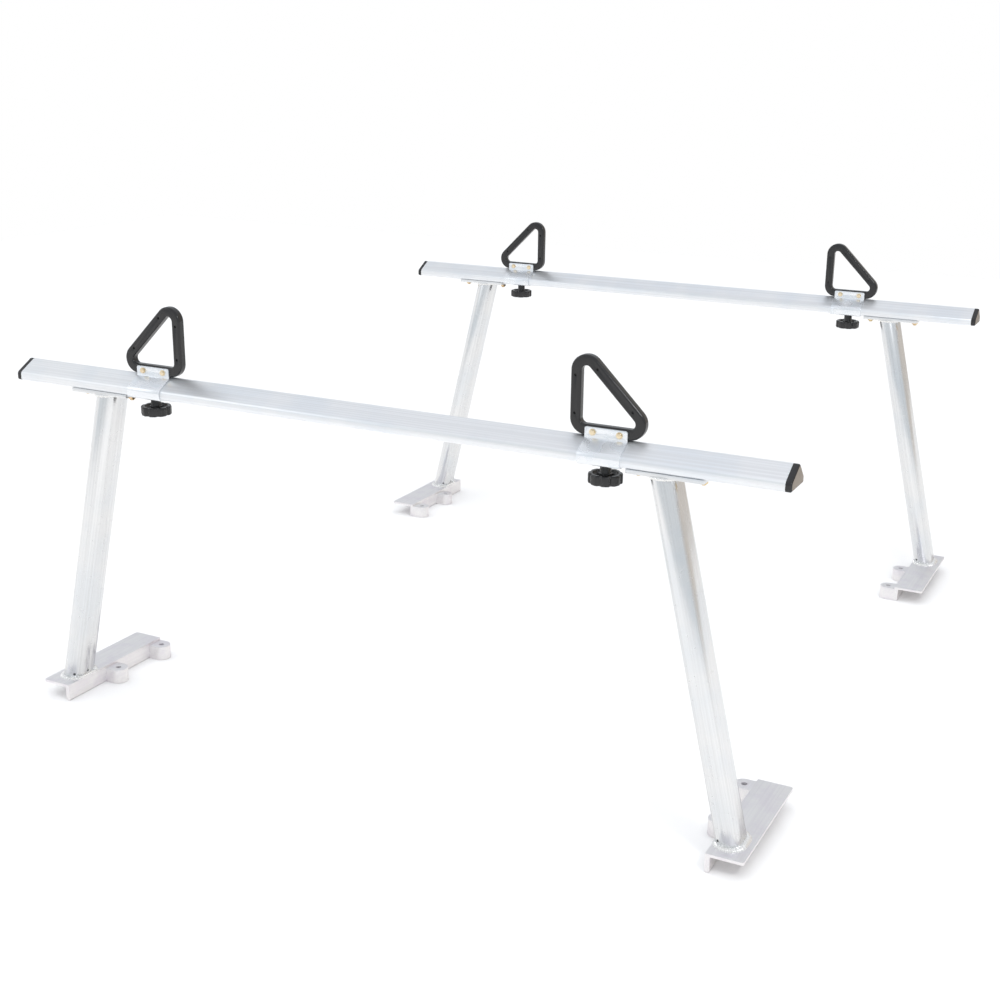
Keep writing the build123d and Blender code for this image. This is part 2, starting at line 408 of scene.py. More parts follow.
def finish_node(node, word, edge, materials, segments=2):
    """Finish a CAD node: broken edges, smooth shading and its materials.

    The second material, where there is one, goes on the broken edges.
    """
    piece = merged_copy(node, f"{node}_{word}")
    dress(piece, materials)
    break_edges(piece, edge, segments, material=1 if len(materials) > 1 else -1)
    smooth(piece)
    stand_for(piece, node)
    return piece


def centre_of(node):
    low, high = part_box(node)
    return (low + high) / 2


# Shader maths


class Value:
    """A node's output that takes part in sums."""

    def __init__(self, nodes, socket):
        self.nodes = nodes
        self.socket = socket

    def combine(self, operation, first, second):
        return self.nodes.add("Math", {"operation": operation}, {0: first, 1: second})

    def __add__(self, other):
        return self.combine("ADD", self, other)

    __radd__ = __add__

    def __sub__(self, other):
        return self.combine("SUBTRACT", self, other)

    def __rsub__(self, other):
        return self.combine("SUBTRACT", other, self)

    def __mul__(self, other):
        return self.combine("MULTIPLY", self, other)

    __rmul__ = __mul__


class Nodes:
    """The nodes of a material or of the world, added one call at a time."""

    def __init__(self, tree):
        self.tree = tree

    def add(self, kind, settings=None, inputs=None, output=0):
        """Add a node, give it its settings and then its values or links."""
        node = self.tree.nodes.new(f"ShaderNode{kind}")
        for name, value in (settings or {}).items():
            setattr(node, name, value)
        self.plug(node, inputs or {})
        return Value(self, node.outputs[output])

    def plug(self, node, inputs):
        for name, value in inputs.items():
            socket = node.inputs[name]
            if isinstance(value, Value):
                self.tree.links.new(value.socket, socket)
            elif isinstance(value, (tuple, list)) and socket.type == "RGBA":
                socket.default_value = (*value[:3], 1)
            else:
                socket.default_value = value

    def cells(self, size, turn=(0, 0, 0)):
        """Place on the piece, counted in cells of a size and turn."""
        place = self.add("TexCoord", output="Object")
        inputs = {"Vector": place, "Scale": size, "Rotation": turn}
        return self.add("Mapping", {"vector_type": "TEXTURE"}, inputs)

    def cloud(self, size, turn=(0, 0, 0), detail=2.0, roughness=0.5):
        """Soft noise from 0 to 1 with cells of that size, in metres."""
        inputs = {
            "Vector": self.cells(size, turn),
            "Scale": 1.0,
            "Detail": detail,
            "Roughness": roughness,
        }
        return self.add("TexNoise", {}, inputs)

    def band(self, value, low, high):
        """0 up to low, 1 from high on, smooth between them."""
        inputs = {"Value": value, "From Min": low, "From Max": high}
        return self.add("MapRange", {"interpolation_type": "SMOOTHSTEP"}, inputs)

    def mix(self, share, first, second):
        """The first colour blended into the second."""
        return self.add("Mix", {"data_type": "RGBA"}, {0: share, 6: first, 7: second}, 2)

    def relief(self, height, depth, strength=1.0):
        inputs = {"Height": height, "Distance": depth, "Strength": strength}
        return self.add("Bump", {}, inputs)


class Finish(Nodes):
    """A material under way."""

    def __init__(self, name):
        self.material = bpy.data.materials.new(name)
        self.material.use_nodes = True
        super().__init__(self.material.node_tree)
        self.shader = self.tree.nodes["Principled BSDF"]

    def wear(self, inputs):
        """Set the surface's values, and give back the material."""
        self.plug(self.shader, inputs)
        return self.material


def tone(colour, factor):
    """A colour made lighter or darker."""
    return tuple(min(1.0, part * factor) for part in colour)


def tinted(colour, tint, factor=1.0):
    return tuple(min(1.0, part * t * factor) for part, t in zip(colour, tint))


def even(size):
    return (size, size, size)


# Tints that a colour is multiplied by

SOFT_WARM = (1.0, 0.98, 0.955)
COOL = (0.93, 0.965, 1.0)
VIOLET = (0.97, 0.94, 1.0)
PINK_FILM = (1.0, 0.86, 0.92)
PEACH_FILM = (1.0, 0.94, 0.9)
RED_FILM = (1.0, 0.85, 0.85)

# Colours that plastics wear to, and of the light round the rack

DUST = (0.09, 0.088, 0.085)
RUBBED = (0.08, 0.08, 0.08)
WORN = (0.05, 0.05, 0.049)
ROOM_FRONT = (0.7, 0.73, 0.755)
ROOM_FAR_RIGHT = (0.66, 0.61, 0.56)
ROOM_ABOVE = (0.7, 0.715, 0.75)


def drawn_aluminium(name, colour, along, turn=(0, 0, 0), rough=0.34, metal=1.0):
    """Extruded metal: die lines along it, soft patches, hairline scratches and rubs."""
    f = Finish(name)
    long = 0.9
    wide_line = tuple(long if axis == along else 0.0042 for axis in "XYZ")
    fine_line = tuple(long if axis == along else 0.0011 for axis in "XYZ")
    die = f.cloud(wide_line, turn, 3.0)
    fine = f.cloud(fine_line, turn, 2.0)
    patch = f.cloud(even(0.11), turn, 3.0)
    rub = f.cloud(even(0.016), (0.4, 0.9, 0.2), 4.0, 0.65)
    hair = f.cloud((0.0009, 0.05, 0.0009), (0.7, 0.35, 1.1), 1.0)
    cross_hair = f.cloud((0.0011, 0.0011, 0.06), (-0.5, 1.25, 0.3), 1.0)
    scratch = f.band(hair, 0.73, 0.77) + f.band(cross_hair, 0.74, 0.78)
    lines = f.band(die, 0.35, 0.65)
    colour_share = f.band(patch, 0.38, 0.68)
    base = f.mix(colour_share * 0.75, colour, tinted(colour, COOL, 0.965))
    base = f.mix(lines * 0.45, base, tone(colour, 0.8))
    base = f.mix(f.band(rub, 0.6, 0.74) * 0.2, base, tone(colour, 0.84))
    base = f.mix(scratch * 0.2, base, tone(colour, 1.08))
    roughness = rough + lines * 0.05 + (fine - 0.5) * 0.06
    roughness = roughness + f.band(rub, 0.55, 0.75) * 0.06 - scratch * 0.04
    height = die * 0.55 + fine * 0.2 - scratch * 0.12
    return f.wear({
        "Base Color": base,
        "Metallic": metal,
        "Roughness": roughness,
        "Normal": f.relief(height, 0.0001, 0.4),
    })


def broken_aluminium(name, colour):
    """The brighter, slightly dinged metal of broken edges."""
    f = Finish(name)
    ding = f.cloud(even(0.006), detail=3.0)
    fine = f.cloud(even(0.0014), detail=2.0)
    dull = f.band(ding, 0.5, 0.7)
    return f.wear({
        "Base Color": f.mix(dull * 0.6, tone(colour, 1.08), tone(colour, 0.88)),
        "Metallic": 1.0,
        "Roughness": 0.26 + dull * 0.12 + (fine - 0.5) * 0.1,
        "Normal": f.relief(ding + fine * 0.4, 0.0002, 0.5),
    })


def cast_aluminium(name, colour):
    """Blasted metal of the feet: fine grain, faint mottling and handling marks."""
    f = Finish(name)
    grain = f.cloud(even(0.0013), detail=3.0)
    mottle = f.cloud(even(0.045), detail=4.0, roughness=0.6)
    mark = f.cloud((0.002, 0.03, 0.002), (0.2, 0.3, 0.5), 2.0)
    stain = f.band(mottle, 0.42, 0.66)
    scuff = f.band(mark, 0.66, 0.74)
    streak = f.band(f.cloud((0.0035, 0.5, 0.0035), detail=3.0), 0.42, 0.66)
    base = f.mix(stain * 0.6, colour, tinted(colour, VIOLET, 0.95))
    base = f.mix(streak * 0.3, base, tinted(colour, VIOLET, 0.86))
    base = f.mix(scuff * 0.5, base, tone(colour, 1.12))
    base = f.mix(f.band(grain, 0.3, 0.7) * 0.25, base, tone(colour, 0.9))
    return f.wear({
        "Base Color": base,
        "Metallic": 0.9,
        "Roughness": 0.42 + (grain - 0.5) * 0.16 + stain * 0.06 - scuff * 0.1,
        "Normal": f.relief(grain * 0.8 + mark * 0.4, 0.00022, 0.55),
    })


def weld_bead(name, colour):
    """Bright rippled weld with a dull bloom in the valleys."""
    f = Finish(name)
    bloom = f.cloud(even(0.009), detail=3.0)
    grain = f.cloud(even(0.0012), detail=2.0)
    dull = f.band(bloom, 0.5, 0.72)
    return f.wear({
        "Base Color": f.mix(dull * 0.55, colour, tone(colour, 0.84)),
        "Metallic": 0.7,
        "Roughness": 0.26 + dull * 0.16 + (grain - 0.5) * 0.12,
        "Normal": f.relief(bloom * 0.6 + grain * 0.5, 0.00025, 0.5),
    })


def plated_zinc(name, colour, tint, rough, metal=1.0):
    """Plated steel: a cloudy film, fine roll lines and a few faint nicks."""
    f = Finish(name)
    film = f.cloud(even(0.03), (0.3, 0.1, 0.7), 1.0)
    roll = f.cloud((0.12, 0.003, 0.003), (0, 0, 0.06), 2.0)
    nick = f.cloud(even(0.006), (0.9, 0.2, 0.4), 1.0)
    cloudy = f.band(film, 0.38, 0.66)
    bare = f.band(nick, 0.7, 0.78)
    base = f.mix(cloudy * 0.6, colour, tinted(colour, tint, 0.94))
    base = f.mix(bare * 0.2, base, tone(colour, 1.1))
    return f.wear({
        "Base Color": base,
        "Metallic": metal,
        "Roughness": rough + cloudy * 0.05 + (roll - 0.5) * 0.04,
        "Normal": f.relief(roll * 0.5 - bare * 0.05, 0.00005, 0.12),
    })


def moulded_plastic(name, colour, rough, dusty=0.3):
    """Moulded plastic: a faint orange-peel skin, dust in patches and light rubs."""
    f = Finish(name)
    skin = f.cloud(even(0.0022), detail=2.0)
    dust = f.cloud(even(0.03), (0.5, 0.2, 0.1), 4.0, 0.62)
    rub = f.cloud((0.0012, 0.022, 0.0012), (0.9, 0.4, 0.2), 2.0)
    powder = f.band(dust, 0.5, 0.78)
    mark = f.band(rub, 0.69, 0.76)
    base = f.mix(powder * dusty, colour, DUST)
    base = f.mix(mark * 0.35, base, RUBBED)
    return f.wear({
        "Base Color": base,
        "Roughness": rough + powder * 0.14 + mark * 0.12 + (skin - 0.5) * 0.08,
        "Normal": f.relief(skin, 0.00014, 0.35),
    })


def worn_plastic(name, colour):
    """Rounded moulded edges, rubbed a little lighter."""
    f = Finish(name)
    rub = f.cloud(even(0.008), detail=4.0, roughness=0.65)
    worn = f.band(rub, 0.45, 0.7)
    return f.wear({
        "Base Color": f.mix(worn * 0.3, tone(colour, 1.2), WORN),
        "Roughness": 0.16 + worn * 0.1,
        "Normal": f.relief(rub, 0.0001, 0.3),
    })


# New shapes


def turned_thread(radius, pitch, turns):
    """A helical ridge that starts at z = 0 and climbs along +Z."""
    ridge = pitch * 0.56
    bpy.ops.object.select_all(action="DESELECT")
    bpy.ops.mesh.primitive_circle_add(
        vertices=3,
        radius=ridge,
        location=(radius - ridge, 0, 0),
        rotation=(0, pi / 2, pi / 2),
    )
    piece = bpy.context.object
    place_in_mesh(piece)
    reach = max(vertex.co.x for vertex in piece.data.vertices)
    piece.data.transform(Matrix.Translation((radius - reach, 0, 0)))
    modifier = piece.modifiers.new("thread", "SCREW")
    modifier.angle = tau
    modifier.screw_offset = pitch
    modifier.iterations = turns
    modifier.steps = 24
    modifier.render_steps = 24
    modifier.axis = "Z"
    bpy.ops.object.modifier_apply(modifier=modifier.name)
    edit_all(piece)
    bpy.ops.mesh.fill_holes(sides=0)
    bpy.ops.mesh.select_all(action="SELECT")
    bpy.ops.mesh.normals_make_consistent(inside=False)
    close_edit()
    return piece


def round_bar(radius, low, high, tip, sides=32):
    """A round bar along Z whose lower end has a chamfered tip."""
    bpy.ops.object.select_all(action="DESELECT")
    bpy.ops.mesh.primitive_circle_add(
        vertices=sides, radius=radius - tip, fill_type="NGON", location=(0, 0, low)
    )
    piece = bpy.context.object
    place_in_mesh(piece)
    edit_all(piece)
    share = radius / (radius - tip)
    bpy.ops.mesh.extrude_region_move(TRANSFORM_OT_translate={"value": (0, 0, tip)})
    bpy.ops.transform.resize(value=(share, share, 1), center_override=(0, 0, low + tip))
    rise = high - low - tip
    bpy.ops.mesh.extrude_region_move(TRANSFORM_OT_translate={"value": (0, 0, rise)})
    bpy.ops.mesh.select_all(action="SELECT")
    bpy.ops.mesh.normals_make_consistent(inside=False)
    close_edit()
    return piece


def hex_block(flats, low, high, crown):
    """A hexagon along Z with flats facing +Y and -Y, its corners turned off."""
    bpy.ops.object.select_all(action="DESELECT")
    bpy.ops.mesh.primitive_circle_add(
        vertices=6,
        radius=flats / sqrt(3),
        fill_type="NGON",
        location=(0, 0, low),
        rotation=(0, 0, pi / 6),
    )
    piece = bpy.context.object
    place_in_mesh(piece)
    edit_all(piece)
    rise = high - low - crown
    bpy.ops.mesh.extrude_region_move(TRANSFORM_OT_translate={"value": (0, 0, rise)})
    bpy.ops.mesh.extrude_region_move(TRANSFORM_OT_translate={"value": (0, 0, crown)})
    share = 1 - 1.6 * crown / flats * 2
    bpy.ops.transform.resize(value=(share, share, 1), center_override=(0, 0, high))
    bpy.ops.mesh.select_all(action="SELECT")
    bpy.ops.mesh.normals_make_consistent(inside=False)
    close_edit()
    break_edges(piece, crown * 0.35, 2)
    return piece


def lay_ring(radius_at, z):
    """Extrude the selected rim and lay it on a new outline at a height."""
    bpy.ops.mesh.extrude_edges_move()
    mesh = bmesh.from_edit_mesh(bpy.context.object.data)
    for vertex in mesh.verts:
        if vertex.select:
            angle = atan2(vertex.co.y, vertex.co.x)
            reach = radius_at(angle)
            vertex.co = Vector((reach * cos(angle), reach * sin(angle), z))
    bmesh.update_edit_mesh(bpy.context.object.data)


def ringed(rings, sides):
    """A closed shape from a small rim outwards and round, ring by ring."""
    bpy.ops.object.select_all(action="DESELECT")
    first_radius, first_z = rings[0]
    bpy.ops.mesh.primitive_circle_add(
        vertices=sides, radius=first_radius(0.0), location=(0, 0, first_z)
    )
    piece = bpy.context.object
    place_in_mesh(piece)
    edit_all(piece)
    bpy.ops.mesh.edge_face_add()
    bpy.ops.mesh.select_mode(type="EDGE")
    for radius_at, z in rings[1:]:
        lay_ring(radius_at, z)
    bpy.ops.mesh.edge_face_add()
    bpy.ops.mesh.select_mode(type="VERT")
    bpy.ops.mesh.select_all(action="SELECT")
    bpy.ops.mesh.remove_doubles(threshold=MERGE)
    bpy.ops.mesh.normals_make_consistent(inside=False)
    close_edit()
    return piece


def knob_shape(top, low):
    """A lobed hand knob whose hub ends at the height top, its underside at low."""
    lobes = 8
    lobe_sides = 18
    outer = 0.033
    notch = 0.0036
    half_notch = radians(12.5)
    dish_outer = 0.0245
    hub_foot = 0.013
    hub = 0.011
    hub_rise = 0.0185
    dish_depth = 0.006
    bend = 0.0032
    disc_top = top - hub_rise
    dish_floor = disc_top - dish_depth

    def outline(inset):
        def radius_at(angle):
            from_notch = abs((angle % (tau / lobes) + tau) % (tau / lobes))
            from_notch = min(from_notch, tau / lobes - from_notch)
            dip = 0.5 + 0.5 * cos(pi * min(1.0, from_notch / half_notch))
            return outer - inset - notch * dip

        return radius_at

    def circle(radius):
        return lambda angle: radius

    rings = [(circle(0.009), low + 0.0012), (circle(0.0105), low + 0.0008)]
    rings += [(circle(0.019), low + 0.0006), (circle(0.0215), low)]
    for step in range(6):
        turn = pi / 2 * step / 5
        rings.append((outline(bend * (1 - sin(turn))), low + bend * (1 - cos(turn))))
    for step in range(6):
        turn = pi / 2 * step / 5
        rings.append((outline(bend * (1 - cos(turn))), disc_top - bend * (1 - sin(turn))))
    rings += [
        (circle(dish_outer + 0.0008), disc_top),
        (circle(dish_outer), disc_top - 0.0006),
        (circle(dish_outer - 0.0012), dish_floor + 0.0012),
        (circle(dish_outer - 0.0025), dish_floor),
        (circle(hub_foot + 0.0025), dish_floor),
        (circle(hub_foot + 0.0008), dish_floor + 0.0014),
        (circle(hub_foot), disc_top - 0.0008),
        (circle(hub_foot - 0.0008), disc_top),
        (circle(hub + 0.0004), disc_top + 0.0004),
        (circle(hub), disc_top + 0.0014),
        (circle(hub - 0.0003), top - 0.0012),
        (circle(hub - 0.0008), top - 0.0003),
        (circle(hub - 0.0016), top),
    ]
    return ringed(rings, lobes * lobe_sides)


def weld_ring(centre, rise, bead, sizes, inner_limit):
    """A rippled bead round a leg; rise is +1 where it stands up and -1 where it hangs."""
    spread, tall = bead
    half_x = sizes.leg_width / cos(sizes.leg_lean) / 2
    straight = (sizes.leg_depth - sizes.leg_width) / 2
    girth = 4 * straight + tau * half_x
    ripples = round(girth / sizes.ripple_pitch)
    steps = 4
    bpy.ops.object.select_all(action="DESELECT")
    bpy.ops.mesh.primitive_torus_add(
        major_segments=ripples * steps,
        minor_segments=12,
        major_radius=half_x,
        minor_radius=spread,
    )
    piece = bpy.context.object
    swell = (0.9, 0.97, 1.0, 0.86)
    for vertex in piece.data.vertices:
        flat = Vector((vertex.co.x, vertex.co.y))
        around = flat.normalized()
        out = flat.length - half_x
        up = vertex.co.z * tall / spread
        step = round(atan2(around.y, around.x) / tau * ripples * steps)
        wave = swell[step % steps] * (1 + 0.03 * sin(step * 0.37) + 0.02 * sin(step * 1.9))
        out = max(out * wave, -BEAD_ROOT)
        up = up * wave * (BEAD_SINK if up < 0 else 1)
        x = around.x * (half_x + out) - rise * abs(up) * tan(sizes.leg_lean)
        y = around.y * (half_x + out) + (straight if around.y > 0 else -straight)
        vertex.co = centre + Vector((x, y, rise * up))
        vertex.co.x = max(vertex.co.x, inner_limit)
    edit_all(piece)
    bpy.ops.mesh.normals_make_consistent(inside=False)
    close_edit()
    return piece


# Operators, one for each kind of piece


class RACK_OT_crossbars(bpy.types.Operator):
    """Finish the two extruded crossbars"""

    bl_idname = "rack.crossbars"
    bl_label = "Crossbars"

    def execute(self, context):
        sizes = context.scene.rack_sizes
        colour = tuple(context.scene.rack_finishes.bar_metal)
        metal = drawn_aluminium(
            "drawn bar aluminium", colour, "X", rough=0.33, metal=0.78
        )
        edges = broken_aluminium("bar edges", colour)
        for portal in PORTALS:
            node = f"{portal}_crossbar"
            finish_node(node, "extrusion", sizes.metal_edge, [metal, edges])
        return {"FINISHED"}


class RACK_OT_end_caps(bpy.types.Operator):
    """Finish the plugged caps at the crossbars' ends"""

    bl_idname = "rack.end_caps"
    bl_label = "End caps"

    def execute(self, context):
        sizes = context.scene.rack_sizes
        colours = context.scene.rack_finishes
        rim = moulded_plastic("cap rim plastic", tuple(colours.black_plastic), 0.2, 0.08)
        face = moulded_plastic("cap face plastic", tuple(colours.cap_face), 0.5, 0.15)
        for corner in CORNERS:
            node = f"{corner}_end_cap"
            piece = finish_node(node, "moulding", sizes.moulded_edge, [rim], 3)
            piece.data.materials.append(face)
            out = 1 if corner.endswith("right") else -1
            for side in piece.data.polygons:
                if side.normal.x * out > END_FACING:
                    side.material_index = 1
        return {"FINISHED"}


class RACK_OT_legs(bpy.types.Operator):
    """Finish the leg tubes and the plates on top of them"""

    bl_idname = "rack.legs"
    bl_label = "Legs and plates"

    def execute(self, context):
        sizes = context.scene.rack_sizes
        # This colour carries painted shade. It is darkened to stand for the shaded floor that
        # the legs mirror, and it goes on the tubes, the plates and their edges.
        colour = tuple(context.scene.rack_finishes.leg_metal_with_painted_shade)
        edges = broken_aluminium("leg edges with painted shade", colour)
        plate = drawn_aluminium("plate aluminium with painted shade", colour, "X", rough=0.36, metal=0.85)
        for side in SIDES:
            lean = -sizes.leg_lean if side == "right" else sizes.leg_lean
            tube = drawn_aluminium(
                f"drawn leg aluminium with painted shade {side}", colour, "Z", (0, lean, 0), rough=0.22
            )
            for portal in PORTALS:
                corner = f"{portal}_{side}"
                finish_node(
                    f"{corner}_leg_tube", "extrusion",
                    sizes.metal_edge, [tube, edges],
                )
                finish_node(
                    f"{corner}_top_plate", "cut_plate",
                    sizes.metal_edge, [plate, edges],
                )
        return {"FINISHED"}


class RACK_OT_feet(bpy.types.Operator):
    """Finish the cast feet with their bolt bosses"""

    bl_idname = "rack.feet"
    bl_label = "Feet"

    def execute(self, context):
        sizes = context.scene.rack_sizes
        colour = tuple(context.scene.rack_finishes.foot_metal)
        metal = cast_aluminium("cast foot aluminium", colour)
        edges = broken_aluminium("foot edges", colour)
        for corner in CORNERS:
            finish_node(
                f"{corner}_foot", "casting",
                sizes.metal_edge * 1.4, [metal, edges], 3,
            )
        return {"FINISHED"}


class RACK_OT_welds(bpy.types.Operator):
    """Lay rippled beads round both ends of every leg"""

    bl_idname = "rack.welds"
    bl_label = "Weld beads"

    def execute(self, context):
        sizes = context.scene.rack_sizes
        metal = weld_bead("weld bead metal", tuple(context.scene.rack_finishes.weld_metal))
        half = sizes.leg_width / cos(sizes.leg_lean) / 2
        tube_low, tube_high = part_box("front_right_leg_tube")
        foot_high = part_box("front_right_foot")[1]
        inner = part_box("front_right_leg_welds")[0].x
        y = (tube_low.y + tube_high.y) / 2
        plate_edge = max(inner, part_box("front_right_top_plate")[0].x)
        foot_centre = Vector((tube_high.x - half, y, tube_low.z))
        top_centre = Vector((tube_low.x + half, y, tube_high.z))
        foot_edge = foot_high.x - FOOT_WIDTH + BEAD_EDGE
        low_ring = weld_ring(foot_centre, 1, FOOT_BEAD, sizes, foot_edge)
        high_ring = weld_ring(top_centre, -1, TOP_BEAD, sizes, plate_edge)
        pattern = joined([low_ring, high_ring], "weld_pattern")
        dress(pattern, [metal])
        smooth(pattern)
        for corner in CORNERS:
            node = f"{corner}_leg_welds"
            mirror_x = -1 if corner.endswith("left") else 1
            middle = centre_of(f"{corner}_leg_tube").y
            matrix = Matrix.Translation((0, middle, 0)) @ Matrix.Diagonal((mirror_x, 1, 1, 1))
            matrix = matrix @ Matrix.Translation((0, -y, 0))
            piece = copied(pattern, matrix)
            piece.name = f"{node}_rippled"
            stand_for(piece, node)
        bpy.data.objects.remove(pattern)
        return {"FINISHED"}


class RACK_OT_slot_hardware(bpy.types.Operator):
    """Make the bolts that hang in the crossbars' slots, and their flange nuts"""

    bl_idname = "rack.slot_hardware"
    bl_label = "Slot bolts and nuts"

    def execute(self, context):
        sizes = context.scene.rack_sizes
        colour = tuple(context.scene.rack_finishes.yellow_zinc)
        plating = plated_zinc("yellow zinc", colour, PINK_FILM, 0.24)
        nut_low, nut_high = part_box("front_right_flange_nuts")
        bolt_low, bolt_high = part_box("front_right_slot_bolts")
        flange = (nut_high.y - nut_low.y) / 2
        head_foot = bolt_high.z - BOLT_HEAD
        pitch = sizes.bolt_pitch
        visible = nut_high.z - bolt_low.z
        turns = int(visible / pitch) + 1
        head = hex_block(BOLT_FLATS, head_foot, bolt_high.z, BOLT_CROWN)
        shank = round_bar(BOLT_RADIUS - pitch * 0.5, bolt_low.z, head_foot, BOLT_CROWN)
        thread = turned_thread(BOLT_RADIUS, pitch, turns)
        start = bolt_low.z + pitch * THREAD_START
        thread.data.transform(Matrix.Translation((0, 0, start)))
        bolt = joined([head, shank, thread], "bolt_pattern")
        dress(bolt, [plating])
        smooth(bolt)
        for corner in CORNERS:
            low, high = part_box(f"{corner}_flange_nuts")
            y = (low.y + high.y) / 2
            places = [Vector((low.x + flange, y, 0)), Vector((high.x - flange, y, 0))]
            twins = [copied(bolt, Matrix.Translation(place)) for place in places]
            pair = joined(twins, f"{corner}_slot_bolts_threaded")
            stand_for(pair, f"{corner}_slot_bolts")
            finish_node(
                f"{corner}_flange_nuts", "plated",
                sizes.sheet_edge * 0.7, [plating],
            )
        bpy.data.objects.remove(bolt)
        return {"FINISHED"}


class RACK_OT_stop_brackets(bpy.types.Operator):
    """Finish the bent brackets that wrap the crossbars"""

    bl_idname = "rack.stop_brackets"
    bl_label = "Stop brackets"

    def execute(self, context):
        sizes = context.scene.rack_sizes
        colour = tuple(context.scene.rack_finishes.bright_zinc)
        plating = plated_zinc("bright zinc", colour, COOL, 0.25, 0.75)
        edges = broken_aluminium("bracket edges", colour)
        for corner in CORNERS:
            finish_node(
                f"{corner}_stop_bracket", "bent_strip",
                sizes.sheet_edge, [plating, edges],
            )
        return {"FINISHED"}


class RACK_OT_stop_loops(bpy.types.Operator):
    """Finish the moulded loops"""

    bl_idname = "rack.stop_loops"
    bl_label = "Stop loops"

    def execute(self, context):
        sizes = context.scene.rack_sizes
        colour = tuple(context.scene.rack_finishes.black_plastic)
        plastic = moulded_plastic("loop plastic", colour, 0.12, 0.06)
        edges = worn_plastic("loop edges", colour)
        for corner in CORNERS:
            finish_node(
                f"{corner}_stop_loop", "moulding",
                sizes.moulded_edge, [plastic, edges], 3,
            )
        return {"FINISHED"}


class RACK_OT_loop_hardware(bpy.types.Operator):
    """Make the flanged screws and the nuts that hold the loops"""

    bl_idname = "rack.loop_hardware"
    bl_label = "Loop screws and nuts"

    def execute(self, context):
        sizes = context.scene.rack_sizes
        colour = tuple(context.scene.rack_finishes.screw_zinc)
        plating = plated_zinc("screw zinc", colour, PEACH_FILM, 0.22)
        low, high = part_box("front_right_loop_screws")
        length = high.y - low.y
        seat = length - SCREW_HEAD
        flange = (high.z - low.z) / 2
        pitch = sizes.screw_pitch
        cap = hex_block(SCREW_FLATS, seat, length, SCREW_CROWN)
        washer = round_bar(flange, seat, seat + SCREW_FLANGE, SCREW_FLANGE_TIP)
        shank = round_bar(SCREW_RADIUS - pitch * 0.5, 0, seat, SCREW_TIP)
        turns = int(seat / pitch) - 1
        thread = turned_thread(SCREW_RADIUS, pitch, turns)
        thread.data.transform(Matrix.Translation((0, 0, pitch * THREAD_START)))
        screw = joined([cap, washer, shank, thread], "screw_pattern")
        dress(screw, [plating])
        smooth(screw)
        turn = Matrix.Rotation(pi / 2, 4, "X")
        for corner in CORNERS:
            node = f"{corner}_loop_screws"
            low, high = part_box(node)
            z = (low.z + high.z) / 2
            places = [Vector((low.x + flange, high.y, z)), Vector((high.x - flange, high.y, z))]
            twins = [copied(screw, Matrix.Translation(place) @ turn) for place in places]
            pair = joined(twins, f"{node}_threaded")
            stand_for(pair, node)
            finish_node(
                f"{corner}_loop_nuts", "plated",
                sizes.sheet_edge * 0.7, [plating],
            )
        bpy.data.objects.remove(screw)
        return {"FINISHED"}


class RACK_OT_knobs(bpy.types.Operator):
    """Make the lobed hand knobs, and finish their bolts and washers"""

    bl_idname = "rack.knobs"
    bl_label = "Knobs"

    def execute(self, context):
        sizes = context.scene.rack_sizes
        colours = context.scene.rack_finishes
        plastic = moulded_plastic("knob plastic", tuple(colours.black_plastic), 0.2, 0.1)
        steel = plated_zinc("knob bolt zinc", tuple(colours.yellow_zinc), RED_FILM, 0.26)
        low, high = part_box("front_right_stop_knob")
        shape = knob_shape(high.z, low.z)
        dress(shape, [plastic])
        smooth(shape)
        for corner in CORNERS:
            node = f"{corner}_stop_knob"
            middle = centre_of(node)
            piece = copied(shape, Matrix.Translation((middle.x, middle.y, 0)))
            piece.name = f"{node}_moulding"
            stand_for(piece, node)
            for part in ("stop_bolt", "stop_washer"):
                finish_node(
                    f"{corner}_{part}", "plated",
                    sizes.sheet_edge * 0.6, [steel],
                )
        bpy.data.objects.remove(shape)
        return {"FINISHED"}


class RACK_OT_stage(bpy.types.Operator):
    """Set the pale floor, the soft light and the camera"""

    bl_idname = "rack.stage"
    bl_label = "Floor, light and camera"

    def execute(self, context):
        stage = context.scene.rack_stage
        lay_floor(tuple(stage.floor_colour))
        light_world(tuple(stage.sky_colour))
        hang_sun(stage.soft_light)
        hang_softbox(*KEY_LIGHT)
        hang_softbox(*EDGE_LIGHT)
        set_camera(stage)
        context.scene.view_settings.view_transform = "Standard"
        return {"FINISHED"}


def lay_floor(colour):
    """A pale floor that mirrors less than it shows."""
    bpy.ops.object.select_all(action="DESELECT")
    bpy.ops.mesh.primitive_plane_add(size=FLOOR_SIZE, location=(0, 0, -FLOOR_GAP))
    floor = bpy.context.object
    floor.name = "floor"
    place_in_mesh(floor)
    f = Finish("pale floor")
    patch = f.cloud(even(0.6), detail=2.0)
    mirrored = f.add("LightPath", output="Is Glossy Ray")
    base = f.mix(patch * 0.3, colour, tone(colour, 0.99))
    base = f.mix(mirrored, base, tinted(colour, SOFT_WARM, 0.96))
    dress(floor, [f.wear({"Base Color": base, "Roughness": 0.75 + patch * 0.1})])


